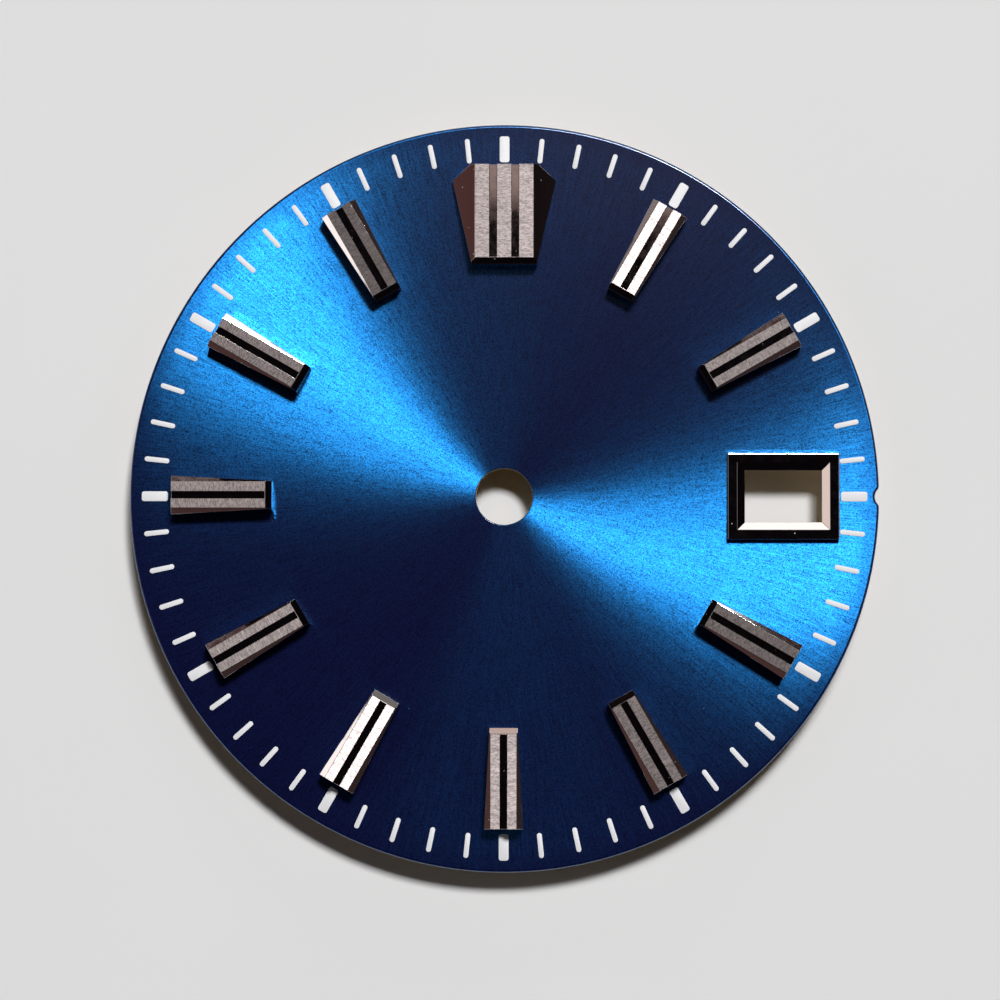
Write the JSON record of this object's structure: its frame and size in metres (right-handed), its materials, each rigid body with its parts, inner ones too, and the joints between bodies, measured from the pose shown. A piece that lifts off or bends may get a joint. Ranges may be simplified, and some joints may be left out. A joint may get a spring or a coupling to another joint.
{
  "type": "watch dial",
  "caption": "Round wrist-watch dial with a blue sunray face, faceted applied hour markers, a framed date window, a printed minute track and feet on its back for the movement.",
  "frame": {"origin": "centre of the centre hole, in the plane of the plate's back face", "axes": "+Z out of the dial's face along the centre hole, +Y to twelve o'clock, +X to three o'clock and the date window"},
  "size_m": [0.0285, 0.0284, 0.0027],
  "materials": {
    "plate_brass": "fine brushed brass, bare on the back and edge",
    "blue_lacquer": "transparent blue lacquer over a sunray-brushed blank",
    "frame_metal": "mirror polished plated brass",
    "marker_metal": "mirror polished facets and grooves, bars brushed across",
    "white_ink": "raised white pad-printed ink",
    "foot_copper": "drawn copper wire, dull",
    "tin_solder": "dull tin solder"
  },
  "bodies": {
    "root": {"dial_plate": "plate_brass", "face_lacquer": "blue_lacquer", "date_frame": "frame_metal", "index_01": "marker_metal", "index_02": "marker_metal", "index_04": "marker_metal", "index_05": "marker_metal", "index_06": "marker_metal", "index_07": "marker_metal", "index_08": "marker_metal", "index_09": "marker_metal", "index_10": "marker_metal", "index_11": "marker_metal", "index_12": "marker_metal", "minute_marks": "white_ink", "five_minute_marks": "white_ink", "dial_foot_a": "foot_copper", "dial_foot_b": "foot_copper", "foot_solder_a": "tin_solder", "foot_solder_b": "tin_solder"}
  },
  "joints": []
}
